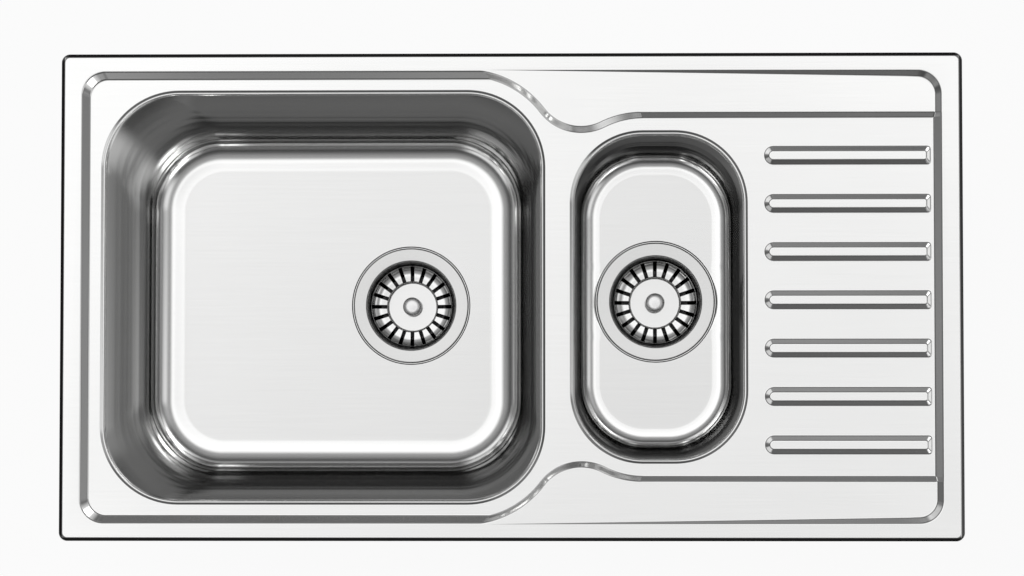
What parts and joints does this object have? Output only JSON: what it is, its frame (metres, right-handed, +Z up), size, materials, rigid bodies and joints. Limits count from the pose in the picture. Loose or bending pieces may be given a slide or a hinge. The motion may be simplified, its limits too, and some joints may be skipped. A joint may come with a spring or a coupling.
{
  "type": "kitchen sink with drainer",
  "caption": "Inset stainless steel kitchen sink with a deep main bowl, a shallower half bowl and a ribbed drainer, each bowl with a lift-out basket strainer waste.",
  "frame": {"origin": "middle of the sink in plan, on the face of the worktop that the rim seal rests on", "axes": "+X to the drainer, +Y to the back, +Z up out of the bowls"},
  "size_m": [0.86, 0.465, 0.257],
  "materials": {
    "sheet_steel": "satin polished stainless sheet",
    "strainer_steel": "polished stainless pressing",
    "knob_steel": "turned and polished",
    "bolt_steel": "turned stainless",
    "bracket_steel": "plain stainless strip",
    "spring_steel": "spring strip",
    "insert_brass": "turned brass",
    "gasket_rubber": "matt black rubber",
    "stopper_rubber": "matt black rubber",
    "seal_foam": "closed cell foam strip",
    "sound_pad": "sound deadening sheet",
    "waste_plastic": "moulded polypropylene"
  },
  "bodies": {
    "sink": {"sink_deck": "sheet_steel", "main_bowl": "sheet_steel", "half_bowl": "sheet_steel", "rim_seal": "seal_foam", "clip_brackets": "bracket_steel", "spring_clips": "spring_steel", "main_sound_pad": "sound_pad", "half_sound_pads": "sound_pad", "main_strainer_cup": "strainer_steel", "main_flange_gasket": "gasket_rubber", "main_under_gasket": "gasket_rubber", "main_waste_body": "waste_plastic", "main_waste_outlet": "waste_plastic", "main_bolt_insert": "insert_brass", "main_centre_bolt": "bolt_steel", "half_strainer_cup": "strainer_steel", "half_flange_gasket": "gasket_rubber", "half_under_gasket": "gasket_rubber", "half_waste_body": "waste_plastic", "half_waste_outlet": "waste_plastic", "half_bolt_insert": "insert_brass", "half_centre_bolt": "bolt_steel"},
    "main_basket": {"main_basket": "strainer_steel", "main_basket_knob": "knob_steel", "main_stopper_seal": "stopper_rubber", "main_stopper_clip": "spring_steel"},
    "half_basket": {"half_basket": "strainer_steel", "half_basket_knob": "knob_steel", "half_stopper_seal": "stopper_rubber", "half_stopper_clip": "spring_steel"}
  },
  "joints": [
    {"name": "main_basket_lift", "type": "slide", "parent": "sink", "child": "main_basket", "axis": [0, 0, 1], "range_m": [0, 0.225]},
    {"name": "half_basket_lift", "type": "slide", "parent": "sink", "child": "half_basket", "axis": [0, 0, 1], "range_m": [0, 0.155]}
  ]
}
